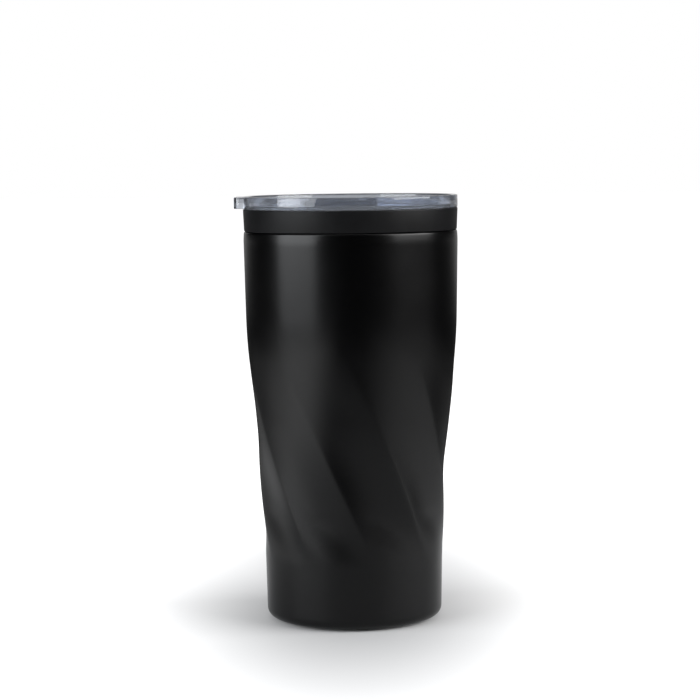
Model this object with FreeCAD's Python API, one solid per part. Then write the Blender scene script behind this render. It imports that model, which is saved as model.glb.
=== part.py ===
import FreeCAD, Part
import math
import os

os.makedirs("parts", exist_ok=True)
V = FreeCAD.Vector

# Insulated tumbler with a push-on clear lid and a sliding closure.
# Millimetres, +Z up, origin on the axis where the foot meets the table.
# The lid's pull tab points to -X and its sip hole lies towards +X.

# ---- overall sizes ----
total_height = 174.0
rim_radius = 44.0

# ---- small sizes used by several pieces ----
small_round = 0.4
fuse_overlap = 0.2
seal_fit = 0.05

# ---- collar and lid rim, as bands of the overall height ----
lid_rim_height = 5.1
collar_height = 9.0
collar_taper = 0.4
joint_gap = 0.1
lid_seat_gap = 0.1

# ---- painted outer shell ----
shell_wall = 0.6
shoulder_step = 0.8
waist_step = 4.35
band_step = 7.4
base_step = 7.95
shoulder_drop = 42.7
waist_height = 76.0
band_height = 28.0
shoulder_blend = 18.0
waist_blend = 18.0
band_blend = 10.0
base_corner = 3.9
rolled_edge = 0.8
lip_height = 3.6
lip_step = 0.25
lip_rounding = 30.0
foot_flange = 2.65
mouth_hole_gap = 0.3
pad_stand = 0.5

# ---- twisted flutes pressed into the shell ----
flute_count = 9
flute_depth_deep = 1.15
flute_depth_shallow = 0.6
flute_top_drop = 38.7
flute_shallow_fade = 36.0
flute_deep_top = 85.0
flute_deep_full = 49.0
flute_bottom_full = 46.0
flute_bottom = 25.0
crest_softness = 0.12
twist_per_mm = 0.67
ridge_start = -16.7
ridge_start_height = 70.5
fluted_low = 20.0
fluted_margin = 10.0

# ---- base plate and foot pad ----
plate_thickness = 0.6
plate_edge_gap = 0.05
plate_dome_radius = 21.0
plate_dome_height = 1.5
pad_gap = 0.4

# ---- moulded liner with its folded collar rim ----
rim_width = 4.4
mouth_depth = 18.0
liner_wall = 1.7
skirt_slot = 0.5
collar_top_thickness = 2.0
liner_shoulder = 6.5
liner_shoulder_step = 1.9
liner_bottom_gap = 6.5
liner_bottom_height = 6.0
liner_floor = 2.2
liner_corner = 7.0
snap_bead = 0.6
snap_bead_height = 1.2

# ---- seal between liner and shell ----
seal_height = 2.4
seal_clearance = 0.25

# ---- clear lid ----
plug_gap = 0.9
plug_wall = 2.8
plug_depth = 14.0
plug_lead_in = 1.2
lid_floor = 2.0
well_depth = 4.9
rim_wall = 2.4
flange_thickness = 1.2
well_step = 0.9
well_floor_inset = 1.7
groove_depth = 1.4
groove_height = 5.0
groove_below_seat = 4.4
tab_width = 22.0
tab_overhang = 3.3
tab_inset = 0.2
tab_corner = 3.0
tab_root_corner = 0.5
sip_length = 6.5
sip_width = 12.0
sip_to_wall = 3.9
vent_to_wall = 8.5
vent_radius = 1.4

# ---- lid gasket ----
fin_count = 2
fin_thickness = 0.9
fin_clearance = 0.25
gasket_clearance = 0.1
gasket_body = 1.2

# ---- sliding closure and its track ----
slider_width = 18.0
slider_length = 29.4
slider_rest_front = 11.0
slider_plate = 1.2
slider_side_gap = 0.3
slider_under_gap = 0.3
slider_top_gap = 0.3
slider_front_corner = 3.0
slider_rear_corner = 1.5
slider_past_sip = 2.5
rail_thickness = 2.0
rail_lip = 1.0
rail_lip_thickness = 1.2
rail_to_wall = 1.2
stop_thickness = 1.5
stop_height = 1.2
stop_gap = 0.3
grip_rear = -17.0
grip_front = 3.6
grip_height = 2.0
grip_side_gap = 0.5
grip_slope = 1.0
grip_round = 0.5
bar_rear = 6.2
bar_front = 10.6
bar_height = 1.8
bar_side_gap = 1.0
bar_slope = 0.6
groove_count = 5
groove_width = 1.0
groove_cut = 0.5
groove_end_gap = 1.5
groove_row_gap = 1.0
seal_pad_border = 1.0
seal_pad_overlap = 1.35
seal_pad_side = 1.7
seal_pad_thickness = 0.9
seal_pad_floor_gap = 0.1
seal_pad_corner = 2.5

# ---- heights that follow from the sizes above ----
lid_top = total_height
lid_seat = lid_top - lid_rim_height
collar_top = lid_seat - lid_seat_gap
collar_bottom = collar_top - collar_height
shell_top = collar_bottom - joint_gap
shell_bottom = pad_stand
plate_under = shell_bottom + shell_wall
shoulder_height = shell_top - shoulder_drop
flute_top = shell_top - flute_top_drop
fluted_high = flute_top + fluted_margin
lip_low = shell_top - lip_height
well_floor = lid_top - well_depth
lid_under = well_floor - lid_floor
plug_bottom = lid_seat - plug_depth
seal_top = shell_top - shell_wall - seal_clearance
seal_bottom = seal_top - seal_height

# ---- radii that follow ----
shoulder_radius = rim_radius - shoulder_step
waist_radius = rim_radius - waist_step
band_radius = rim_radius - band_step
base_radius = rim_radius - base_step
foot_hole_radius = base_radius - base_corner - foot_flange
pad_radius = foot_hole_radius - pad_gap
plate_radius = base_radius - base_corner - plate_edge_gap
liner_radius_bottom = band_radius - shell_wall - liner_bottom_gap
mouth_radius = rim_radius - rim_width
neck_radius = mouth_radius + liner_wall
mouth_hole_radius = neck_radius + mouth_hole_gap
plug_radius = mouth_radius - plug_gap
well_radius_top = rim_radius - rim_wall
well_radius_floor = plug_radius - well_floor_inset

# ---- places along the lid's track that follow ----
sip_far = well_radius_floor - sip_to_wall
sip_near = sip_far - sip_length
vent_position = vent_to_wall - well_radius_floor
slider_front = slider_rest_front
slider_rear = slider_front - slider_length
slider_travel = sip_far + slider_past_sip - slider_front
rail_front = well_radius_floor - rail_to_wall
seal_pad_front = slider_front - seal_pad_border
seal_pad_rear = seal_pad_front - sip_length - 2 * seal_pad_overlap
seal_pad_width = slider_width - 2 * seal_pad_side


def rounded_edges(corners, closed=True):
    """Edges beside the axis through (radius, height, rounding) corners."""
    count = len(corners)
    starts = []
    middles = []
    ends = []
    for index, (radius, height, rounding) in enumerate(corners):
        here = V(radius, 0, height)
        before = V(corners[index - 1][0], 0, corners[index - 1][1])
        after_corner = corners[(index + 1) % count]
        after = V(after_corner[0], 0, after_corner[1])
        if rounding <= 0:
            starts.append(here)
            middles.append(None)
            ends.append(here)
            continue
        back = before.sub(here).normalize()
        onward = after.sub(here).normalize()
        half_angle = back.getAngle(onward) / 2
        reach = rounding / math.tan(half_angle)
        inward = back.add(onward).normalize()
        centre = here.add(inward * (rounding / math.sin(half_angle)))
        starts.append(here.add(back * reach))
        middles.append(centre.sub(inward * rounding))
        ends.append(here.add(onward * reach))
    edges = []
    for index in range(count):
        if middles[index] is not None:
            arc = Part.Arc(starts[index], middles[index], ends[index])
            edges.append(arc.toShape())
        if index == count - 1 and not closed:
            break
        following = starts[(index + 1) % count]
        if ends[index].distanceToPoint(following) > 1e-6:
            edges.append(Part.LineSegment(ends[index], following).toShape())
    return edges


def rounded_face(corners):
    """Flat face beside the axis from (radius, height, rounding) corners."""
    return Part.Face(Part.Wire(rounded_edges(corners)))


def turned(corners):
    """Solid of revolution about the main axis."""
    solid = rounded_face(corners).revolve(V(0, 0, 0), V(0, 0, 1), 360)
    return Part.Solid(solid.Shells[0]) if solid.ShapeType != "Solid" else solid


def rounded_plate(x_low, x_high, width, z_low, thickness, corner_low, corner_high):
    """Upright-walled plate, centred on Y, with its own roundings at each end."""
    half = width / 2
    corners = [
        (x_low, -half, corner_low),
        (x_high, -half, corner_high),
        (x_high, half, corner_high),
        (x_low, half, corner_low),
    ]
    edges = []
    points = []
    for index, (x, y, rounding) in enumerate(corners):
        here = V(x, y, z_low)
        before = V(corners[index - 1][0], corners[index - 1][1], z_low)
        after = V(corners[(index + 1) % 4][0], corners[(index + 1) % 4][1], z_low)
        back = before.sub(here).normalize()
        onward = after.sub(here).normalize()
        inward = back.add(onward).normalize()
        centre = here.add(inward * (rounding * math.sqrt(2)))
        middle = centre.sub(inward * rounding)
        points.append((here.add(back * rounding), middle, here.add(onward * rounding)))
    for index, (start, middle, end) in enumerate(points):
        edges.append(Part.Arc(start, middle, end).toShape())
        following = points[(index + 1) % 4][0]
        if end.distanceToPoint(following) > 1e-6:
            edges.append(Part.LineSegment(end, following).toShape())
    return Part.Face(Part.Wire(edges)).extrude(V(0, 0, thickness))


def ease(value):
    """Smooth step from 0 to 1."""
    value = min(1.0, max(0.0, value))
    return value * value * (3 - 2 * value)


def soft_corner(value, blend):
    """Zero below 0 and the value itself above, with a rounded change."""
    if value <= -blend / 2:
        return 0.0
    if value >= blend / 2:
        return value
    return (value + blend / 2) ** 2 / (2 * blend)


def crest_radius(height):
    """Outer radius of the shell along a flute's crest."""
    base_slope = (band_radius - base_radius) / (band_height - shell_bottom)
    low_slope = (waist_radius - band_radius) / (waist_height - band_height)
    high_slope = (shoulder_radius - waist_radius) / (shoulder_height - waist_height)
    top_slope = (rim_radius - shoulder_radius) / (shell_top - shoulder_height)
    radius = base_radius + base_slope * (height - shell_bottom)
    radius += (low_slope - base_slope) * soft_corner(height - band_height, band_blend)
    radius += (high_slope - low_slope) * soft_corner(height - waist_height, waist_blend)
    radius += (top_slope - high_slope) * soft_corner(height - shoulder_height, shoulder_blend)
    return radius


def flute_cut(height):
    """Depth of a flute's middle below its crests."""
    shallow = flute_depth_shallow * ease((flute_top - height) / flute_shallow_fade)
    deep_share = (flute_deep_top - height) / (flute_deep_top - flute_deep_full)
    bottom_share = (height - flute_bottom) / (flute_bottom_full - flute_bottom)
    return (shallow + flute_depth_deep * ease(deep_share)) * ease(bottom_share)


def flute_form(share):
    """0 on a crest and 1 midway between two, with nearly flat sides and a soft crest."""
    wave = math.sin(math.pi * share)
    soft = crest_softness
    return (math.hypot(wave, soft) - soft) / (math.hypot(1, soft) - soft)


def ridge_turn(height):
    """Where a crest stands round the axis, in degrees."""
    return ridge_start + twist_per_mm * (ridge_start_height - height)


def fluted_patch(inset):
    """Twisted strip of the fluted wall, from one flute's middle to the next, over a crest."""
    columns = 44
    rows = 26
    sector = 360.0 / flute_count
    grid = []
    for column in range(columns + 1):
        share = column / columns - 0.5
        line = []
        for row in range(rows + 1):
            height = fluted_low + (fluted_high - fluted_low) * row / rows
            angle = math.radians(ridge_turn(height) - 90 + sector * share)
            radius = crest_radius(height) - inset - flute_cut(height) * flute_form(share)
            line.append(V(radius * math.cos(angle), radius * math.sin(angle), height))
        grid.append(line)
    surface = Part.BSplineSurface()
    surface.interpolate(grid)
    return surface.toShape()


def turned_strips(edges, height):
    """The edges turned through one flute's share, in line with the strips at a height."""
    sector = 360.0 / flute_count
    strips = []
    for edge in edges:
        strip = edge.revolve(V(0, 0, 0), V(0, 0, 1), sector)
        strip.rotate(V(0, 0, 0), V(0, 0, 1), ridge_turn(height) - 90 - sector / 2)
        strips.append(strip)
    return strips


def make_outer_shell():
    """Thin shell: plain turned ends joined to a fluted middle."""
    low_edges = []
    high_edges = []
    for inset in (0.0, shell_wall):
        low = shell_bottom + inset
        high = shell_top - inset
        low_edges += rounded_edges([
            (foot_hole_radius, low, 0),
            (crest_radius(low) - inset, low, base_corner - inset),
            (crest_radius(fluted_low) - inset, fluted_low, 0),
        ], closed=False)
        high_edges += rounded_edges([
            (crest_radius(fluted_high) - inset, fluted_high, 0),
            (crest_radius(lip_low) - inset, lip_low, lip_rounding - inset),
            (crest_radius(high) - lip_step - inset, high, rolled_edge - inset),
            (mouth_hole_radius, high, 0),
        ], closed=False)
    low_edges.append(Part.LineSegment(V(foot_hole_radius, 0, shell_bottom),
                                      V(foot_hole_radius, 0, plate_under)).toShape())
    high_edges.append(Part.LineSegment(V(mouth_hole_radius, 0, shell_top - shell_wall),
                                       V(mouth_hole_radius, 0, shell_top)).toShape())
    strips = turned_strips(low_edges, fluted_low) + turned_strips(high_edges, fluted_high)
    strips += [fluted_patch(0.0), fluted_patch(shell_wall)]
    faces = []
    for index in range(flute_count):
        for strip in strips:
            copy = strip.copy()
            copy.rotate(V(0, 0, 0), V(0, 0, 1), index * 360.0 / flute_count)
            faces.append(copy)
    skin = Part.makeShell(faces)
    skin.sewShape(1e-3)
    solid = Part.Solid(skin if skin.ShapeType == "Shell" else skin.Shells[0])
    if solid.Volume < 0:
        solid.reverse()
    return solid


def make_base_plate():
    top = plate_under + plate_thickness
    rise = plate_dome_height
    return turned([
        (0, plate_under + rise, 0),
        (plate_dome_radius, plate_under + rise, 1.0),
        (plate_dome_radius + 2 * rise, plate_under, 1.0),
        (plate_radius, plate_under, 0),
        (plate_radius, top, 0),
        (plate_dome_radius + 2 * rise, top, 1.0),
        (plate_dome_radius, top + rise, 1.0),
        (0, top + rise, 0),
    ])


def make_foot_pad():
    return turned([
        (0, 0, 0),
        (pad_radius, 0, 0.3),
        (pad_radius, plate_under, 0),
        (0, plate_under, 0),
    ])


def make_liner():
    skirt_inside = neck_radius + skirt_slot
    web = collar_top - collar_top_thickness
    bead_low = seal_bottom - snap_bead_height
    shoulder_top = collar_top - mouth_depth
    shoulder_bottom = shoulder_top - liner_shoulder
    taper_radius = neck_radius - liner_shoulder_step
    inner_bottom = liner_radius_bottom - liner_wall
    floor_top = liner_bottom_height + liner_floor
    return turned([
        (mouth_radius, collar_top, 0.7),
        (rim_radius, collar_top, 0.5),
        (rim_radius - collar_taper, collar_bottom, 0.5),
        (skirt_inside, collar_bottom, 0.3),
        (skirt_inside, web, 0.2),
        (neck_radius, web, 0.2),
        (neck_radius, seal_bottom, 0),
        (neck_radius + snap_bead, seal_bottom, 0.2),
        (neck_radius + snap_bead, seal_bottom - snap_bead_height / 3, 0.2),
        (neck_radius, bead_low, 0),
        (neck_radius, shoulder_top, 3.0),
        (taper_radius, shoulder_bottom, 5.0),
        (liner_radius_bottom, liner_bottom_height, liner_corner),
        (0, liner_bottom_height, 0),
        (0, floor_top, 0),
        (inner_bottom, floor_top, liner_corner - liner_wall),
        (taper_radius - liner_wall, shoulder_bottom, 4.0),
        (mouth_radius, shoulder_top, 3.0),
    ])


def make_shell_seal():
    outer = crest_radius(shell_top) - lip_step - shell_wall - seal_clearance
    return turned([
        (neck_radius, seal_bottom, 0),
        (outer, seal_bottom, 0.5),
        (outer, seal_top, 0.7),
        (neck_radius, seal_top, 0),
    ])


def make_lid():
    groove_top = lid_seat - groove_below_seat
    groove_bottom = groove_top - groove_height
    flange_top = lid_seat + flange_thickness
    lid = turned([
        (0, lid_under, 0),
        (plug_radius - plug_wall, lid_under, 0.8),
        (plug_radius - plug_wall, plug_bottom, 0.5),
        (plug_radius - plug_lead_in, plug_bottom, 0.5),
        (plug_radius, plug_bottom + 2 * plug_lead_in, 0.5),
        (plug_radius, groove_bottom, 0.2),
        (plug_radius - groove_depth, groove_bottom, 0.2),
        (plug_radius - groove_depth, groove_top, 0.2),
        (plug_radius, groove_top, 0.2),
        (plug_radius, lid_seat, small_round),
        (rim_radius, lid_seat, small_round),
        (rim_radius, lid_top, 0.5),
        (well_radius_top, lid_top, 0.5),
        (well_radius_top, flange_top, 0.5),
        (well_radius_floor + well_step, flange_top, small_round),
        (well_radius_floor, well_floor, small_round),
        (0, well_floor, 0),
    ])
    lid = lid.fuse(make_tab())
    for side in (-1, 1):
        lid = lid.fuse(make_rail(side))
    half_track = slider_width / 2 + slider_side_gap
    track_rear = slider_rear - stop_gap - stop_thickness
    stop = Part.makeBox(stop_thickness, 2 * half_track, stop_height + fuse_overlap,
                        V(track_rear, -half_track, well_floor - fuse_overlap))
    lid = lid.fuse(stop)
    hole_height = lid_floor + 2
    hole_low = lid_under - 1
    sip_end = sip_length / 2 - 0.01
    sip = rounded_plate(sip_near, sip_far, sip_width, hole_low, hole_height, sip_end, sip_end)
    vent = Part.makeCylinder(vent_radius, hole_height, V(vent_position, 0, hole_low))
    return lid.cut(sip).cut(vent).removeSplitter().Solids[0]


def make_tab():
    """Pull tab on the lid's rim, with its free edges rounded."""
    tab = rounded_plate(-rim_radius - tab_overhang, fuse_overlap - rim_radius, tab_width,
                        lid_seat + tab_inset, lid_rim_height - 2 * tab_inset,
                        tab_corner, tab_root_corner)
    outline = [edge for edge in tab.Edges
               if edge.BoundBox.ZLength < 1e-6 and edge.BoundBox.XMin < -rim_radius]
    tab = tab.makeFillet(small_round, outline)
    root = rounded_plate(-rim_radius, -well_radius_top - rim_wall / 2, tab_width,
                         lid_seat + tab_inset, lid_rim_height - 2 * tab_inset,
                         tab_root_corner, tab_root_corner)
    return tab.fuse(root)


def make_rail(side):
    """Track rail with an inward lip that holds the slider down."""
    near = slider_width / 2 + slider_side_gap
    far = near + rail_thickness
    lip_under = well_floor + slider_under_gap + slider_plate + slider_top_gap
    lip_top = lip_under + rail_lip_thickness
    rear = slider_rear - stop_gap - stop_thickness
    section = [
        (near, well_floor - fuse_overlap),
        (far, well_floor - fuse_overlap),
        (far, lip_top - small_round),
        (far - small_round, lip_top),
        (near - rail_lip, lip_top),
        (near - rail_lip, lip_under),
        (near, lip_under),
    ]
    points = [V(rear, side * y, z) for y, z in section]
    face = Part.Face(Part.makePolygon(points + [points[0]]))
    return face.extrude(V(rail_front - rear, 0, 0))


def make_lid_gasket():
    top = lid_seat - groove_below_seat - gasket_clearance
    bottom = top - groove_height + 2 * gasket_clearance
    inner = plug_radius - groove_depth + seal_fit
    body = inner + gasket_body
    tip = mouth_radius - fin_clearance
    height = top - bottom
    corners = [(inner, bottom, 0.15), (body, bottom, 0.2)]
    for index in range(fin_count):
        middle = bottom + height * (index + 0.5) / fin_count
        corners.append((body, middle - fin_thickness, 0))
        corners.append((tip, middle - fin_thickness / 3, 0.15))
        corners.append((tip, middle + fin_thickness / 3, 0.15))
        corners.append((body, middle + fin_thickness / 2, 0))
    corners += [(body, top, 0.2), (inner, top, 0.15)]
    return turned(corners)


def sloped_block(x_low, x_high, width, z_low, height, slope):
    """Raised block whose two ends lean inwards."""
    points = [
        V(x_low, -width / 2, z_low),
        V(x_high, -width / 2, z_low),
        V(x_high - slope, -width / 2, z_low + height),
        V(x_low + slope, -width / 2, z_low + height),
    ]
    face = Part.Face(Part.makePolygon(points + [points[0]]))
    return face.extrude(V(0, width, 0))


def raised_block(x_low, x_high, width, z_low, height, slope, rounding):
    """Sloped block fused onto a plate, with its top edges rounded."""
    block = sloped_block(x_low, x_high, width, z_low - fuse_overlap, height + fuse_overlap, slope)
    top_edges = [edge for edge in block.Edges if edge.BoundBox.ZMin > z_low + height - 0.01]
    return block.makeFillet(rounding, top_edges)


def make_slider():
    plate_low = well_floor + slider_under_gap
    plate_high = plate_low + slider_plate
    slider = rounded_plate(slider_rear, slider_front, slider_width, plate_low, slider_plate,
                           slider_rear_corner, slider_front_corner)
    block_width = slider_width + 2 * (slider_side_gap - rail_lip - grip_side_gap)
    grip = raised_block(grip_rear, grip_front, block_width, plate_high,
                        grip_height, grip_slope, grip_round)
    bar = raised_block(bar_rear, bar_front, block_width - bar_side_gap, plate_high,
                       bar_height, bar_slope, small_round)
    slider = slider.fuse(grip).fuse(bar)
    grooves_rear = grip_rear + grip_slope + groove_row_gap
    grooves_front = grip_front - grip_slope - groove_row_gap
    pitch = (grooves_front - grooves_rear) / groove_count
    groove_length = block_width - 2 * groove_end_gap
    for index in range(groove_count):
        middle = grooves_rear + pitch * (index + 0.5)
        corner = V(middle - groove_width / 2, -groove_length / 2,
                   plate_high + grip_height - groove_cut)
        slider = slider.cut(Part.makeBox(groove_width, groove_length, groove_cut + 1, corner))
    pad_top = well_floor + seal_pad_floor_gap + seal_pad_thickness
    pocket_low = plate_low - 1
    pocket = rounded_plate(seal_pad_rear, seal_pad_front, seal_pad_width, pocket_low,
                           pad_top - pocket_low, seal_pad_corner, seal_pad_corner)
    return slider.cut(pocket).removeSplitter().Solids[0]


def make_slider_seal():
    corner = seal_pad_corner - seal_fit
    return rounded_plate(seal_pad_rear + seal_fit, seal_pad_front - seal_fit,
                         seal_pad_width - 2 * seal_fit, well_floor + seal_pad_floor_gap,
                         seal_pad_thickness, corner, corner)


pieces = {
    "outer_shell": make_outer_shell(),
    "base_plate": make_base_plate(),
    "foot_pad": make_foot_pad(),
    "inner_liner": make_liner(),
    "shell_seal": make_shell_seal(),
    "lid_shell": make_lid(),
    "lid_gasket": make_lid_gasket(),
    "slider": make_slider(),
    "slider_seal": make_slider_seal(),
}

for name, shape in pieces.items():
    shape.exportStep("parts/" + name + ".step")
    box = shape.BoundBox
    print(name, shape.ShapeType, "valid", shape.isValid(), "solids", len(shape.Solids),
          "volume %.1f" % shape.Volume,
          "x %.2f %.2f y %.2f %.2f z %.2f %.2f" % (box.XMin, box.XMax, box.YMin, box.YMax,
                                                   box.ZMin, box.ZMax))
print("slider travel %.1f" % slider_travel)
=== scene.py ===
import math

import bmesh
import bpy
from mathutils import Matrix, Vector


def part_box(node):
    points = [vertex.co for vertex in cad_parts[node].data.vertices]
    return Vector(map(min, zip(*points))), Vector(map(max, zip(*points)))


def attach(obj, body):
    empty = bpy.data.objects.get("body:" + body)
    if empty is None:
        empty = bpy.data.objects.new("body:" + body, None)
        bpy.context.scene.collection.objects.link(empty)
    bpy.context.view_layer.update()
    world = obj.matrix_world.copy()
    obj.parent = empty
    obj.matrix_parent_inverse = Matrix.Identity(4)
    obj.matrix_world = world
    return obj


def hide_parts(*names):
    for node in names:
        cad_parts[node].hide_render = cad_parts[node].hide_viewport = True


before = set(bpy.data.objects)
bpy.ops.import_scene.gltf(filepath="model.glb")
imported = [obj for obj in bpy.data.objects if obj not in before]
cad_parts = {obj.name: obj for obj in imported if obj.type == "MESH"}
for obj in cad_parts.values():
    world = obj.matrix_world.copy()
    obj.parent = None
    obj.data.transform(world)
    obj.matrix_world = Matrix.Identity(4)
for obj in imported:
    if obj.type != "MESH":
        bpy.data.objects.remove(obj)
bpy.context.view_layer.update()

# Insulated tumbler with a clear push-on lid. Sizes here are in millimetres, and mesh() makes
# them metres. Sizes that the frame holds are read from its nodes' boxes.
MM = 0.001


def lowest(node):
    """Low corner of a node's box in the frame."""
    return [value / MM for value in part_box(node)[0]]


def highest(node):
    """High corner of a node's box in the frame."""
    return [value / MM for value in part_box(node)[1]]


SHELL_BOTTOM = lowest("outer_shell")[2]
SHELL_TOP = highest("outer_shell")[2]
RIM = highest("inner_liner")[1]
COLLAR_TOP = highest("inner_liner")[2]
LINER_BOTTOM = lowest("inner_liner")[2]
LID_TOP = highest("lid_shell")[2]
PLUG_BOTTOM = lowest("lid_shell")[2]
TAB_END = lowest("lid_shell")[0]
GASKET_LOW = lowest("lid_gasket")[2]
GASKET_HIGH = highest("lid_gasket")[2]
SEAL_LOW = lowest("shell_seal")[2]
PAD_RADIUS = highest("foot_pad")[1]
PAD_TOP = highest("foot_pad")[2]
SLIDER_REAR = lowest("slider")[0]
SLIDER_FRONT = highest("slider")[0]
SLIDER_HALF = highest("slider")[1]
SLIDER_LOW = lowest("slider")[2]

# Collar, liner mouth and lid.
JOINT_GAP = 0.1
RIM_WIDTH = 4.4
LINER_WALL = 1.7
PLUG_GAP = 0.9
WELL_DEPTH = 4.9
WELL_INSET = 1.7
LID_FLOOR = 2.0
COLLAR_BOTTOM = SHELL_TOP + JOINT_GAP
LID_SEAT = COLLAR_TOP + JOINT_GAP
WELL_FLOOR = LID_TOP - WELL_DEPTH
LID_UNDER = WELL_FLOOR - LID_FLOOR
MOUTH = RIM - RIM_WIDTH
NECK = MOUTH + LINER_WALL
PLUG = MOUTH - PLUG_GAP
WELL = PLUG - WELL_INSET

# Outer shell: steps in from the rim, and the heights where its straight stretches meet.
SHELL_WALL = 0.6
BASE_STEP = 7.95
BAND_STEP = 7.4
WAIST_STEP = 4.35
SHOULDER_STEP = 0.8
BAND_HEIGHT = 28.0
WAIST_HEIGHT = 76.0
SHOULDER_DROP = 42.7
BAND_BLEND = 10.0
WAIST_BLEND = 18.0
SHOULDER_BLEND = 18.0
BASE_CORNER = 3.9
ROLLED_EDGE = 0.8
LIP_STEP = 0.25
LIP_HEIGHT = 3.6
LIP_BLEND = 2.6
FOOT_FLANGE = 2.65
MOUTH_HOLE_GAP = 0.3
BASE = RIM - BASE_STEP
FOOT_HOLE = BASE - BASE_CORNER - FOOT_FLANGE

# Twisted flutes.
FLUTES = 9
SHALLOW_DEPTH = 0.6
SHALLOW_DROP = 38.7
SHALLOW_FADE = 36.0
DEEP_DEPTH = 1.15
DEEP_TOP = 85.0
DEEP_FADE = 36.0
FLUTE_BOTTOM = 25.0
BOTTOM_FADE = 21.0
FLUTED_LOW = 20.0
FLUTED_HIGH = SHELL_TOP - 28.7
CREST_SOFTNESS = 0.12
RIDGE_START = -16.7
RIDGE_START_HEIGHT = 70.5
TWIST_PER_MM = 0.67
CROWDING = 1.4


# ---------------------------------------------------------------- mesh helpers
def mesh(name, points, faces, smooth=40.0):
    """Object from points in millimetres; edges that turn by more than smooth degrees stay sharp."""
    data = bpy.data.meshes.new(name)
    data.from_pydata([Vector(p) * MM for p in points], [], faces)
    data.validate()
    built = bmesh.new()
    built.from_mesh(data)
    bmesh.ops.remove_doubles(built, verts=built.verts, dist=1e-7)
    bmesh.ops.recalc_face_normals(built, faces=built.faces)
    built.to_mesh(data)
    built.free()
    soften(data, smooth)
    piece = bpy.data.objects.new(name, data)
    bpy.context.scene.collection.objects.link(piece)
    return piece


def soften(data, angle):
    for polygon in data.polygons:
        polygon.use_smooth = True
    data.set_sharp_from_angle(angle=math.radians(angle))


def rounded(corners, steps=6):
    """Closed outline of (radius, height) points from (radius, height, rounding) corners."""
    outline = []
    count = len(corners)
    for index, (r, z, rounding) in enumerate(corners):
        here = Vector((r, z))
        if rounding <= 0:
            outline.append((r, z))
            continue
        back = (Vector(corners[index - 1][:2]) - here).normalized()
        onward = (Vector(corners[(index + 1) % count][:2]) - here).normalized()
        half = back.angle(onward) / 2
        reach = rounding / math.tan(half)
        centre = here + (back + onward).normalized() * (rounding / math.sin(half))
        first = here + back * reach - centre
        turn = first.angle_signed(here + onward * reach - centre)
        for step in range(steps + 1):
            spoke = first.copy()
            spoke.rotate(Matrix.Rotation(-turn * step / steps, 2))
            outline.append(tuple(centre + spoke))
    return outline


def joined_rings(segments, count):
    """Quads round a closed ring of sections that have count points each."""
    faces = []
    for segment in range(segments):
        here = segment * count
        there = ((segment + 1) % segments) * count
        for index in range(count):
            following = (index + 1) % count
            faces.append((here + index, there + index, there + following, here + following))
    return faces


def lathe(name, corners, segments=256, steps=6, smooth=40.0):
    """Closed solid of revolution."""
    outline = rounded(corners, steps)
    points = []
    for segment in range(segments):
        angle = 2 * math.pi * segment / segments
        for r, z in outline:
            points.append((r * math.cos(angle), r * math.sin(angle), z))
    return mesh(name, points, joined_rings(segments, len(outline)), smooth)


def block(name, low, high, rounding=0.3, segments=3, taper=None):
    """Box with every edge rounded; taper draws its top in at the X ends."""
    built = bmesh.new()
    bmesh.ops.create_cube(built, size=1.0)
    centre = [(a + b) / 2 for a, b in zip(low, high)]
    size = [b - a for a, b in zip(low, high)]
    for vert in built.verts:
        vert.co = Vector([c + v * s for c, v, s in zip(centre, vert.co, size)])
        if taper and vert.co.z > centre[2]:
            vert.co.x += -taper if vert.co.x > centre[0] else taper
    if rounding > 0:
        bmesh.ops.bevel(built, geom=built.edges[:], offset=rounding, segments=segments,
                        profile=0.5, affect="EDGES", clamp_overlap=True)
    points = [vert.co.copy() for vert in built.verts]
    faces = [[vert.index for vert in face.verts] for face in built.faces]
    built.free()
    return mesh(name, points, faces)


def plate(name, x_low, x_high, half_width, z_low, z_high, corner_low, corner_high,
          edge=0.0, steps=8, edge_steps=3):
    """Upright-walled plate with rounded plan corners and, if edge is given, softened rims."""
    outline = []
    for x, y, corner, start in ((x_high, half_width, corner_high, 0),
                                (x_low, half_width, corner_low, 90),
                                (x_low, -half_width, corner_low, 180),
                                (x_high, -half_width, corner_high, 270)):
        cx = x - corner if x == x_high else x + corner
        cy = y - corner if y > 0 else y + corner
        for step in range(steps + 1):
            angle = math.radians(start + 90 * step / steps)
            outline.append((cx + corner * math.cos(angle), cy + corner * math.sin(angle)))
    layers = [(z_low, 0.0), (z_high, 0.0)]
    if edge > 0:
        turns = [math.radians(90 * step / edge_steps) for step in range(edge_steps + 1)]
        curve = [(edge * (1 - math.sin(turn)), edge * (1 - math.cos(turn))) for turn in turns]
        layers = [(z_low + rise, inset) for rise, inset in curve[::-1]]
        layers += [(z_high - rise, inset) for rise, inset in curve]
    mid_x = (x_low + x_high) / 2
    half_length = (x_high - x_low) / 2
    points = []
    for z, inset in layers:
        for x, y in outline:
            points.append((mid_x + (x - mid_x) * (1 - inset / half_length),
                           y * (1 - inset / half_width), z))
    count = len(outline)
    faces = [list(range(count))[::-1]]
    for layer in range(len(layers) - 1):
        for index in range(count):
            following = (index + 1) % count
            faces.append((layer * count + index, layer * count + following,
                          (layer + 1) * count + following, (layer + 1) * count + index))
    last = (len(layers) - 1) * count
    faces.append(list(range(last, last + count)))
    return mesh(name, points, faces)


def combine(base, other, operation):
    """Join other to base, or cut it out of base, for good."""
    change = base.modifiers.new("join", "BOOLEAN")
    change.operation = operation
    change.solver = "EXACT"
    change.object = other
    bpy.context.view_layer.update()
    graph = bpy.context.evaluated_depsgraph_get()
    result = bpy.data.meshes.new_from_object(base.evaluated_get(graph))
    base.modifiers.clear()
    base.data = result
    bpy.data.objects.remove(other)


# ---------------------------------------------------------------- outer shell
def ease(value):
    """Smooth step from 0 to 1."""
    value = min(1.0, max(0.0, value))
    return value * value * (3 - 2 * value)


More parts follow.
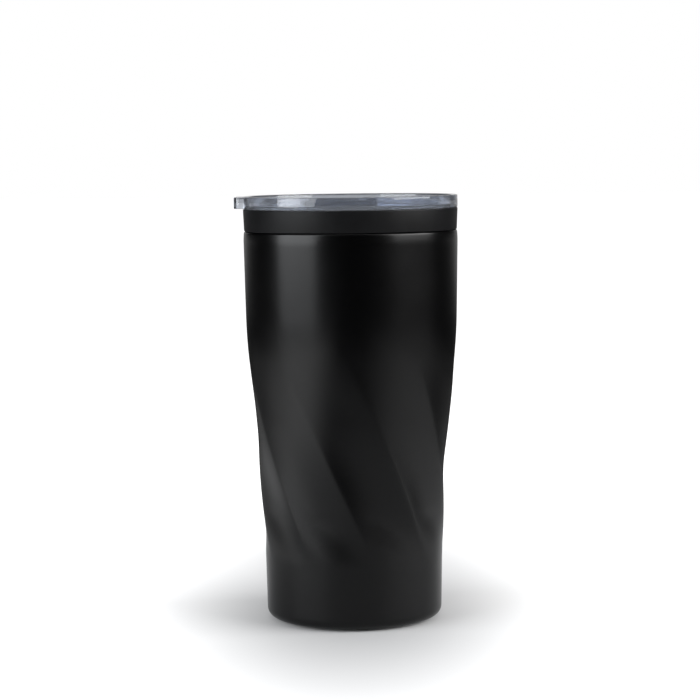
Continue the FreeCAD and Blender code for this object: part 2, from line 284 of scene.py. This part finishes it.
def soft_corner(value, blend):
    """0 below 0 and the value itself above, with the corner rounded over the blend's length."""
    if value <= -blend / 2:
        return 0.0
    if value >= blend / 2:
        return value
    return (value + blend / 2) ** 2 / (2 * blend)


def crest(z):
    """Outer radius along a flute's crest: straight stretches with blended corners."""
    heights = [SHELL_BOTTOM, BAND_HEIGHT, WAIST_HEIGHT, SHELL_TOP - SHOULDER_DROP, SHELL_TOP]
    radii = [BASE, RIM - BAND_STEP, RIM - WAIST_STEP, RIM - SHOULDER_STEP, RIM]
    blends = [BAND_BLEND, WAIST_BLEND, SHOULDER_BLEND]
    slopes = [(radii[i + 1] - radii[i]) / (heights[i + 1] - heights[i]) for i in range(4)]
    radius = BASE + slopes[0] * (z - SHELL_BOTTOM)
    for index, blend in enumerate(blends, 1):
        radius += (slopes[index] - slopes[index - 1]) * soft_corner(z - heights[index], blend)
    return radius - LIP_STEP * soft_corner(z - SHELL_TOP + LIP_HEIGHT, LIP_BLEND) / LIP_HEIGHT


def flute_cut(z):
    """Depth of a flute's middle: a long shallow run-out above, a deep pressing below."""
    shallow = SHALLOW_DEPTH * ease((SHELL_TOP - SHALLOW_DROP - z) / SHALLOW_FADE)
    deep = DEEP_DEPTH * ease((DEEP_TOP - z) / DEEP_FADE)
    return (shallow + deep) * ease((z - FLUTE_BOTTOM) / BOTTOM_FADE)


def flute_form(share):
    """0 on a crest and 1 midway between two, with nearly flat sides and a soft crest."""
    soft = CREST_SOFTNESS
    wave = math.sin(math.pi * share)
    return (math.hypot(wave, soft) - soft) / (math.hypot(1, soft) - soft)


def ridge_turn(z):
    """Where a crest stands round the axis, in degrees; held still on the plain ends."""
    held = min(FLUTED_HIGH, max(FLUTED_LOW, z))
    return RIDGE_START + TWIST_PER_MM * (RIDGE_START_HEIGHT - held)


def shell_section(inset, wall_steps, corner_steps=10, roll_steps=8):
    """(radius, height) pairs from the foot flange's hole up to the mouth flange's hole."""
    corner = BASE_CORNER - inset
    roll = ROLLED_EDGE - inset
    wall_low = SHELL_BOTTOM + BASE_CORNER
    wall_high = SHELL_TOP - ROLLED_EDGE
    path = [(FOOT_HOLE, SHELL_BOTTOM + inset)]
    for step in range(corner_steps + 1):
        turn = math.radians(90 * step / corner_steps)
        path.append((crest(wall_low) - BASE_CORNER + corner * math.sin(turn),
                     wall_low - corner * math.cos(turn)))
    for step in range(1, wall_steps):
        z = wall_low + (wall_high - wall_low) * step / wall_steps
        path.append((crest(z) - inset, z))
    for step in range(roll_steps + 1):
        turn = math.radians(90 * step / roll_steps)
        path.append((crest(wall_high) - ROLLED_EDGE + roll * math.cos(turn),
                     wall_high + roll * math.sin(turn)))
    path.append((NECK + MOUTH_HOLE_GAP, SHELL_TOP - inset))
    return path


def make_shell(columns=40, outer_steps=170, inner_steps=80):
    """Twisted strips, closer together near each crest, so that the ridges stay crisp."""
    outside = shell_section(0.0, outer_steps)
    inside = shell_section(SHELL_WALL, inner_steps)
    section = outside + inside[::-1]
    points = []
    segments = FLUTES * columns
    for segment in range(segments):
        place = 2 * (segment % columns) / columns - 1
        share = math.copysign(abs(place) ** CROWDING, place) / 2
        for r, z in section:
            angle = math.radians(ridge_turn(z) + (segment // columns + share) * 360.0 / FLUTES)
            radius = r - flute_cut(z) * flute_form(share)
            points.append((radius * math.sin(angle), -radius * math.cos(angle), z))
    return mesh("shell_skin", points, joined_rings(segments, len(section)), 50.0)


# ---------------------------------------------------------------- materials
def material(name, base, rough, metallic=0.0, specular=0.5):
    made = bpy.data.materials.new(name)
    made.use_nodes = True
    nodes = made.node_tree.nodes
    shader = nodes["Principled BSDF"]
    shader.inputs["Base Color"].default_value = (*base, 1)
    shader.inputs["Roughness"].default_value = rough
    shader.inputs["Metallic"].default_value = metallic
    shader.inputs["Specular IOR Level"].default_value = specular
    return made, made.node_tree, shader


def noise(tree, scale, detail=2.0, rough=0.5, stretch=(1, 1, 1)):
    where = tree.nodes.new("ShaderNodeTexCoord")
    shift = tree.nodes.new("ShaderNodeMapping")
    shift.inputs["Scale"].default_value = stretch
    tree.links.new(where.outputs["Object"], shift.inputs["Vector"])
    made = tree.nodes.new("ShaderNodeTexNoise")
    made.inputs["Scale"].default_value = scale
    made.inputs["Detail"].default_value = detail
    made.inputs["Roughness"].default_value = rough
    tree.links.new(shift.outputs["Vector"], made.inputs["Vector"])
    return made.outputs["Fac"]


def ranged(tree, source, low, high, from_low=0.3, from_high=0.7):
    made = tree.nodes.new("ShaderNodeMapRange")
    made.inputs["From Min"].default_value = from_low
    made.inputs["From Max"].default_value = from_high
    made.inputs["To Min"].default_value = low
    made.inputs["To Max"].default_value = high
    tree.links.new(source, made.inputs["Value"])
    return made.outputs["Result"]


def tint(tree, source, low, high):
    made = tree.nodes.new("ShaderNodeMix")
    made.data_type = "RGBA"
    made.inputs[6].default_value = (*low, 1)
    made.inputs[7].default_value = (*high, 1)
    tree.links.new(source, made.inputs[0])
    return made.outputs[2]


def bump(tree, shader, source, strength, distance):
    made = tree.nodes.new("ShaderNodeBump")
    made.inputs["Strength"].default_value = strength
    made.inputs["Distance"].default_value = distance
    tree.links.new(source, made.inputs["Height"])
    tree.links.new(made.outputs["Normal"], shader.inputs["Normal"])


GRAIN_STRENGTH = 0.35


def wear(name, base, other, rough, grain, depth, patch=45.0, specular=0.5, metallic=0.0):
    """Base colour and roughness that vary softly in patches, over a fine grained surface."""
    made, tree, shader = material(name, base, rough[0], metallic, specular)
    cloud = noise(tree, patch, 4.0, 0.6)
    tree.links.new(tint(tree, ranged(tree, cloud, 0, 1), base, other),
                   shader.inputs["Base Color"])
    tree.links.new(ranged(tree, cloud, *rough), shader.inputs["Roughness"])
    bump(tree, shader, noise(tree, grain, 3.0, 0.6), GRAIN_STRENGTH, depth)
    return made


paint = wear("shell_paint", (0.0002, 0.0002, 0.0003), (0.0006, 0.0006, 0.0007),
             rough=(0.23, 0.27), grain=2600.0, depth=0.00002, patch=30.0, specular=0.22)
collar_plastic = wear("liner_plastic", (0.0026, 0.0026, 0.0029), (0.0042, 0.0043, 0.0048),
                      rough=(0.40, 0.48), grain=3800.0, depth=0.00006, patch=60.0,
                      specular=0.12)
steel = wear("base_steel", (0.52, 0.52, 0.53), (0.60, 0.60, 0.61),
             rough=(0.28, 0.40), grain=900.0, depth=0.00002, patch=40.0, metallic=1.0)
foot_rubber = wear("foot_rubber", (0.018, 0.018, 0.019), (0.028, 0.028, 0.029),
                   rough=(0.7, 0.85), grain=2200.0, depth=0.00008)
seal_rubber = wear("seal_rubber", (0.03, 0.03, 0.032), (0.042, 0.042, 0.045),
                   rough=(0.6, 0.75), grain=2200.0, depth=0.00005)
pad_silicone = wear("pad_silicone", (0.035, 0.035, 0.038), (0.05, 0.05, 0.054),
                    rough=(0.45, 0.6), grain=2200.0, depth=0.00004)
slider_plastic = wear("slider_plastic", (0.017, 0.022, 0.037), (0.025, 0.031, 0.050),
                      rough=(0.12, 0.2), grain=1800.0, depth=0.000015, patch=80.0)
gasket_silicone = wear("gasket_silicone", (0.30, 0.32, 0.34), (0.36, 0.38, 0.40),
                       rough=(0.35, 0.5), grain=1500.0, depth=0.00003)


def clear_plastic():
    """Clear moulding, faintly smoky and blue, with slight waves in its polish."""
    made, tree, shader = material("lid_clear", (0.74, 0.77, 0.84), 0.02)
    shader.inputs["Transmission Weight"].default_value = 0.96
    shader.inputs["IOR"].default_value = 1.35
    tree.links.new(ranged(tree, noise(tree, 140.0, 4.0, 0.6), 0.0, 0.025),
                   shader.inputs["Roughness"])
    tree.links.new(tint(tree, noise(tree, 60.0, 2.0), (0.69, 0.73, 0.81), (0.77, 0.80, 0.86)),
                   shader.inputs["Base Color"])
    bump(tree, shader, noise(tree, 190.0, 3.0, 0.6, (1, 1, 3)), 0.3, 0.00006)
    return made


lid_clear = clear_plastic()


def dress(piece, finish, slot=None, body=None, *replaced):
    """Give a piece its material; a new piece also gets its body and hides the node it replaces. The
    slot is not used.
    """
    piece.data.materials.clear()
    piece.data.materials.append(finish)
    if body:
        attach(piece, body)
        if replaced:
            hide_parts(*replaced)


# ---------------------------------------------------------------- pieces
shell = make_shell()
dress(shell, paint, "shell_paint", "tumbler", "outer_shell")

skirt = NECK + 0.5
web = COLLAR_TOP - 2.0
bead = NECK + 0.6
mouth_low = COLLAR_TOP - 18.0
shoulder_low = COLLAR_TOP - 24.5
taper = NECK - 1.9
floor_corner = RIM - 14.5
liner_floor = LINER_BOTTOM + 2.2
liner = lathe("liner_skin", [
    (MOUTH, COLLAR_TOP, 0.7),
    (RIM, COLLAR_TOP, 0.5),
    (RIM - 0.4, COLLAR_BOTTOM, 0.5),
    (skirt, COLLAR_BOTTOM, 0.3),
    (skirt, web, 0.2),
    (NECK, web, 0.2),
    (NECK, SEAL_LOW, 0),
    (bead, SEAL_LOW, 0.2),
    (bead, SEAL_LOW - 0.4, 0.2),
    (NECK, SEAL_LOW - 1.2, 0),
    (NECK, mouth_low, 3.0),
    (taper, shoulder_low, 5.0),
    (floor_corner, LINER_BOTTOM, 7.0),
    (0, LINER_BOTTOM, 0),
    (0, liner_floor, 0),
    (floor_corner - LINER_WALL, liner_floor, 5.3),
    (taper - LINER_WALL, shoulder_low, 4.0),
    (MOUTH, mouth_low, 3.0),
])
dress(liner, collar_plastic, "liner_plastic", "tumbler", "inner_liner")

groove = PLUG - 1.4
groove_low = LID_SEAT - 9.4
groove_high = LID_SEAT - 4.4
plug_inside = PLUG - 2.8
rim_inside = RIM - 2.4
flange_top = LID_SEAT + 1.2
lid = lathe("lid_clear_body", [
    (0, LID_UNDER, 0),
    (plug_inside, LID_UNDER, 0.8),
    (plug_inside, PLUG_BOTTOM, 0.5),
    (PLUG - 1.2, PLUG_BOTTOM, 0.5),
    (PLUG, PLUG_BOTTOM + 2.4, 0.5),
    (PLUG, groove_low, 0.2),
    (groove, groove_low, 0.2),
    (groove, groove_high, 0.2),
    (PLUG, groove_high, 0.2),
    (PLUG, LID_SEAT, 0.4),
    (RIM, LID_SEAT, 0.4),
    (RIM, LID_TOP, 0.5),
    (rim_inside, LID_TOP, 0.5),
    (rim_inside, flange_top, 0.5),
    (WELL + 0.9, flange_top, 0.4),
    (WELL, WELL_FLOOR, 0.4),
    (0, WELL_FLOOR, 0),
], steps=5)
tab_half = 11.0
tab_inset = 0.2
tab = plate("tab", TAB_END, 1.2 - RIM, tab_half, LID_SEAT + tab_inset, LID_TOP - tab_inset,
            3.0, 0.5, 0.4)
combine(lid, tab, "UNION")
track = SLIDER_HALF + 0.3
overlap = 0.2
rail_low = WELL_FLOOR - overlap
lip_low = SLIDER_LOW + 1.5
lip_high = lip_low + 1.2
rail_rear = SLIDER_REAR - 1.8
rail_front = WELL - 1.2
rail_width = 2.0
lip_reach = 1.0
stop_length = 1.5
stop_height = 1.2
for side in (-1, 1):
    ends = sorted((side * track, side * (track + rail_width)))
    rail = block("rail", (rail_rear, ends[0], rail_low), (rail_front, ends[1], lip_high), 0.25)
    combine(lid, rail, "UNION")
    ends = sorted((side * (track - lip_reach), side * (track + 0.6)))
    lip = block("lip", (rail_rear, ends[0], lip_low), (rail_front, ends[1], lip_high), 0.2)
    combine(lid, lip, "UNION")
stop = block("stop", (rail_rear, -track, rail_low),
             (rail_rear + stop_length, track, WELL_FLOOR + stop_height), 0.2)
combine(lid, stop, "UNION")
hole_low = LID_UNDER - 1
hole_high = WELL_FLOOR + 1
sip_far = WELL - 3.9
sip_length = 6.5
sip_half = 6.0
sip_corner = 3.24
sip = plate("sip", sip_far - sip_length, sip_far, sip_half, hole_low, hole_high,
            sip_corner, sip_corner)
combine(lid, sip, "DIFFERENCE")
vent_middle = 8.5 - WELL
vent_radius = 1.4
vent = plate("vent", vent_middle - vent_radius, vent_middle + vent_radius, vent_radius,
             hole_low, hole_high, vent_radius - 0.01, vent_radius - 0.01)
combine(lid, vent, "DIFFERENCE")
soften(lid.data, 35.0)
dress(lid, lid_clear, "lid_clear", "lid", "lid_shell")

slider_top = SLIDER_LOW + 1.2
grip_top = slider_top + 2.0
grip_half = SLIDER_HALF - 1.2
grip_rear, grip_front = -17.0, 3.6
bar_rear, bar_front = 6.2, 10.6
bar_half = grip_half - 0.5
pocket_rear, pocket_front = SLIDER_FRONT - 10.2, SLIDER_FRONT - 1.0
slider = plate("slider_body", SLIDER_REAR, SLIDER_FRONT, SLIDER_HALF, SLIDER_LOW, slider_top,
               1.5, 3.0, 0.25)
grip = block("grip", (grip_rear, -grip_half, slider_top - overlap),
             (grip_front, grip_half, grip_top), 0.5, 4, 1.0)
grooves = 5
grooves_rear, grooves_length = -15.0, 16.6
groove_half = 0.5
groove_depth = 0.5
groove_margin = 1.5
for index in range(grooves):
    middle = grooves_rear + grooves_length / grooves * (index + 0.5)
    cutter = block("cutter", (middle - groove_half, groove_margin - grip_half,
                              grip_top - groove_depth),
                   (middle + groove_half, grip_half - groove_margin, grip_top + 1), 0.15)
    combine(grip, cutter, "DIFFERENCE")
combine(slider, grip, "UNION")
bar = block("bar", (bar_rear, -bar_half, slider_top - overlap),
            (bar_front, bar_half, slider_top + 1.8), 0.4, 4, 0.6)
combine(slider, bar, "UNION")
pocket = plate("pocket", pocket_rear, pocket_front, SLIDER_HALF - 1.7,
               SLIDER_LOW - 1, WELL_FLOOR + 1.0, 2.5, 2.5)
combine(slider, pocket, "DIFFERENCE")
soften(slider.data, 35.0)
dress(slider, slider_plastic, "slider_plastic", "closure", "slider")

gasket_inside = groove + 0.05
fin_root = groove + 1.25
fin_tip = MOUTH - 0.25
fins = []
for share in (0.25, 0.75):
    middle = GASKET_LOW + (GASKET_HIGH - GASKET_LOW) * share
    fins += [(fin_root, middle - 0.9, 0), (fin_tip, middle - 0.3, 0.15),
             (fin_tip, middle + 0.3, 0.15), (fin_root, middle + 0.45, 0)]
gasket = lathe("gasket_skin", [(gasket_inside, GASKET_LOW, 0.15), (fin_root, GASKET_LOW, 0.2)]
               + fins + [(fin_root, GASKET_HIGH, 0.2), (gasket_inside, GASKET_HIGH, 0.15)],
               steps=3)
dress(gasket, gasket_silicone, "gasket_silicone", "lid", "lid_gasket")

ring_depth = 0.35
ring_width = 1.3
ring_slope = 0.3
rings = [(0, PAD_TOP, 0), (0, 0, 0)]
for radius in (6.0, 12.0, 18.0, 24.0):
    rings += [(radius, 0, 0.12), (radius + ring_slope, ring_depth, 0.1),
              (radius + ring_width - ring_slope, ring_depth, 0.1), (radius + ring_width, 0, 0.12)]
pad = lathe("foot_pad_skin", rings + [(PAD_RADIUS, 0, 0.3), (PAD_RADIUS, PAD_TOP, 0)], steps=3)
dress(pad, foot_rubber, "foot_rubber", "tumbler", "foot_pad")

for node, finish in (("base_plate", steel), ("shell_seal", seal_rubber),
                     ("slider_seal", pad_silicone)):
    dress(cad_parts[node], finish)


# ---------------------------------------------------------------- stage
FLOOR_HALF = 9.0
FLOOR_DROP = 0.2
# Dark end of the floor's colour: the painted darkening that the object sees far from the tumbler;
# the camera's floor mixes it in evenly.
FLOOR_PAINTED_DARK = (0.01, 0.01, 0.01)
FLOOR_PALE = (0.86, 0.862, 0.87)


def between(tree, source, near, far, low, high):
    """Smooth step from low to high as the source runs from near to far."""
    made = tree.nodes.new("ShaderNodeMapRange")
    made.interpolation_type = "SMOOTHSTEP"
    for socket, value in (("From Min", near), ("From Max", far), ("To Min", low), ("To Max", high)):
        made.inputs[socket].default_value = value
    tree.links.new(source, made.inputs["Value"])
    return made.outputs["Result"]


def seen_or_not(tree, unseen, seen):
    """The seen value where the camera looks, the unseen one where the object reflects it."""
    path = tree.nodes.new("ShaderNodeLightPath")
    made = tree.nodes.new("ShaderNodeMix")
    made.data_type = "FLOAT"
    tree.links.new(path.outputs["Is Camera Ray"], made.inputs[0])
    for socket, value in ((2, unseen), (3, seen)):
        if isinstance(value, float):
            made.inputs[socket].default_value = value
        else:
            tree.links.new(value, made.inputs[socket])
    return made.outputs[0]


def length_of(tree, source, stretch, move=(0, 0, 0)):
    """Length of a position that is stretched and moved first."""
    shift = tree.nodes.new("ShaderNodeMapping")
    shift.inputs["Location"].default_value = move
    shift.inputs["Scale"].default_value = stretch
    tree.links.new(source, shift.inputs["Vector"])
    made = tree.nodes.new("ShaderNodeVectorMath")
    made.operation = "LENGTH"
    tree.links.new(shift.outputs["Vector"], made.inputs[0])
    return made.outputs["Value"]


def combined(tree, operation, one, other):
    """Sum or product of two sockets."""
    made = tree.nodes.new("ShaderNodeMath")
    made.operation = operation
    tree.links.new(one, made.inputs[0])
    tree.links.new(other, made.inputs[1])
    return made.outputs[0]


def painted_floor_glow(tree, distance, side, depth):
    """Painted light that only the object sees: a bright patch glowing on each side, and the far
    floor glowing.
    """
    left = between(tree, side, -0.30, -0.12, 2.1, 0.0)
    right = between(tree, side, 0.12, 0.30, 0.0, 0.7)
    painted_glow_patches = combined(tree, "ADD", left, right)
    painted_glow_patches = combined(tree, "MULTIPLY", painted_glow_patches, between(tree, distance, 0.5, 0.8, 1.0, 0.0))
    painted_glow_patches = combined(tree, "MULTIPLY", painted_glow_patches, between(tree, depth, -0.25, 0.25, 1.0, 0.1))
    return combined(tree, "ADD", painted_glow_patches, between(tree, depth, 1.2, 3.0, 0.0, 0.40))


def floor_material():
    """Pale sheet with a painted shadow round the foot, where it glows least. What the object sees
    of it is a painted pool of light that ends nearby, with a painted bright patch on each side.
    """
    made, tree, shader = material("floor", (0.5, 0.5, 0.51), 0.6, 0.0, 0.2)
    where = tree.nodes.new("ShaderNodeTexCoord")
    split = tree.nodes.new("ShaderNodeSeparateXYZ")
    tree.links.new(where.outputs["Object"], split.inputs["Vector"])
    distance = length_of(tree, where.outputs["Object"], (1, 1, 1))
    # Painted pool of light that only the object sees: the floor's colour falls to dark between 0.16
    # and 0.5 m from the axis.
    painted_light_pool = between(tree, distance, 0.16, 0.50, 0.5, 0.0)
    tree.links.new(tint(tree, seen_or_not(tree, painted_light_pool, 0.42), FLOOR_PAINTED_DARK, FLOOR_PALE),
                   shader.inputs["Base Color"])
    tree.links.new(ranged(tree, noise(tree, 3.0, 3.0), 0.55, 0.65), shader.inputs["Roughness"])
    shader.inputs["Emission Color"].default_value = (1, 1, 1, 1)
    # Painted shadow round the foot that the camera sees: the floor glows least at the foot, more
    # away from it.
    painted_shade_distance = length_of(tree, where.outputs["Object"], (1, 0.36, 1), (0, -0.0072, 0))
    painted_shade_glow = between(tree, painted_shade_distance, 0.01, 0.135, 0.0, 1.05)
    # The object sees the painted bright spots on each side and the far floor glowing; the camera
    # sees the painted shadow.
    painted_reflection_glow = painted_floor_glow(tree, distance, split.outputs["X"], split.outputs["Y"])
    tree.links.new(seen_or_not(tree, painted_reflection_glow, painted_shade_glow), shader.inputs["Emission Strength"])
    return made


sheet_corners = [(-FLOOR_HALF, -FLOOR_HALF), (FLOOR_HALF, -FLOOR_HALF),
                 (FLOOR_HALF, FLOOR_HALF), (-FLOOR_HALF, FLOOR_HALF)]
floor = mesh("floor", [(x / MM, y / MM, -FLOOR_DROP) for x, y in sheet_corners], [(0, 1, 2, 3)])
floor.data.materials.append(floor_material())


def area(name, place, aim, width, height, power, colour=(1, 1, 1)):
    """Softbox at a place in metres, turned to its aim, that the camera doesn't see."""
    light = bpy.data.lights.new(name, "AREA")
    light.shape = "RECTANGLE"
    light.size = width
    light.size_y = height
    light.energy = power
    light.color = colour
    made = bpy.data.objects.new(name, light)
    bpy.context.scene.collection.objects.link(made)
    made.location = place
    direction = Vector(aim) - Vector(place)
    made.rotation_euler = direction.to_track_quat("-Z", "Y").to_euler()
    made.visible_camera = False
    return made


body_middle = (0, 0, 0.14)
area("key", (-0.905, -0.533, 0.47), body_middle, 0.95, 0.86, 19.0, (0.95, 0.975, 1.0))
area("fill", (0.99, -0.36, 0.62), body_middle, 1.05, 0.80, 25.0)
area("top", (0.0, 0.15, 1.2), (0, 0, 0), 1.3, 0.9, 10.0)

# The camera sees white all round. The object sees a pale backdrop straight behind it, and a
# dark studio elsewhere.
world = bpy.data.worlds.new("studio")
world.use_nodes = True
tree = world.node_tree
where = tree.nodes.new("ShaderNodeTexCoord")
split = tree.nodes.new("ShaderNodeSeparateXYZ")
tree.links.new(where.outputs["Generated"], split.inputs["Vector"])
backdrop = between(tree, split.outputs["Y"], 0.80, 0.985, 0.003, 0.60)
tree.links.new(seen_or_not(tree, backdrop, 1.0), tree.nodes["Background"].inputs["Strength"])
tree.nodes["Background"].inputs["Color"].default_value = (1, 1, 1, 1)
bpy.context.scene.world = world
bpy.context.scene.view_settings.view_transform = "Standard"

# ---------------------------------------------------------------- camera
CAMERA_PLACE = (0, -0.924, 0.1914)
CAMERA_YAW = 0.046
CAMERA_DOWN = 5.01
CAMERA_ROLL = -0.65
lens = bpy.data.cameras.new("camera")
lens.lens = 115.8
lens.sensor_width = 36.0
lens.clip_end = 100.0
camera = bpy.data.objects.new("camera", lens)
bpy.context.scene.collection.objects.link(camera)
camera.matrix_world = (Matrix.Translation(CAMERA_PLACE)
                       @ Matrix.Rotation(math.radians(CAMERA_YAW), 4, "Z")
                       @ Matrix.Rotation(math.radians(90 - CAMERA_DOWN), 4, "X")
                       @ Matrix.Rotation(math.radians(CAMERA_ROLL), 4, "Z"))
bpy.context.scene.camera = camera
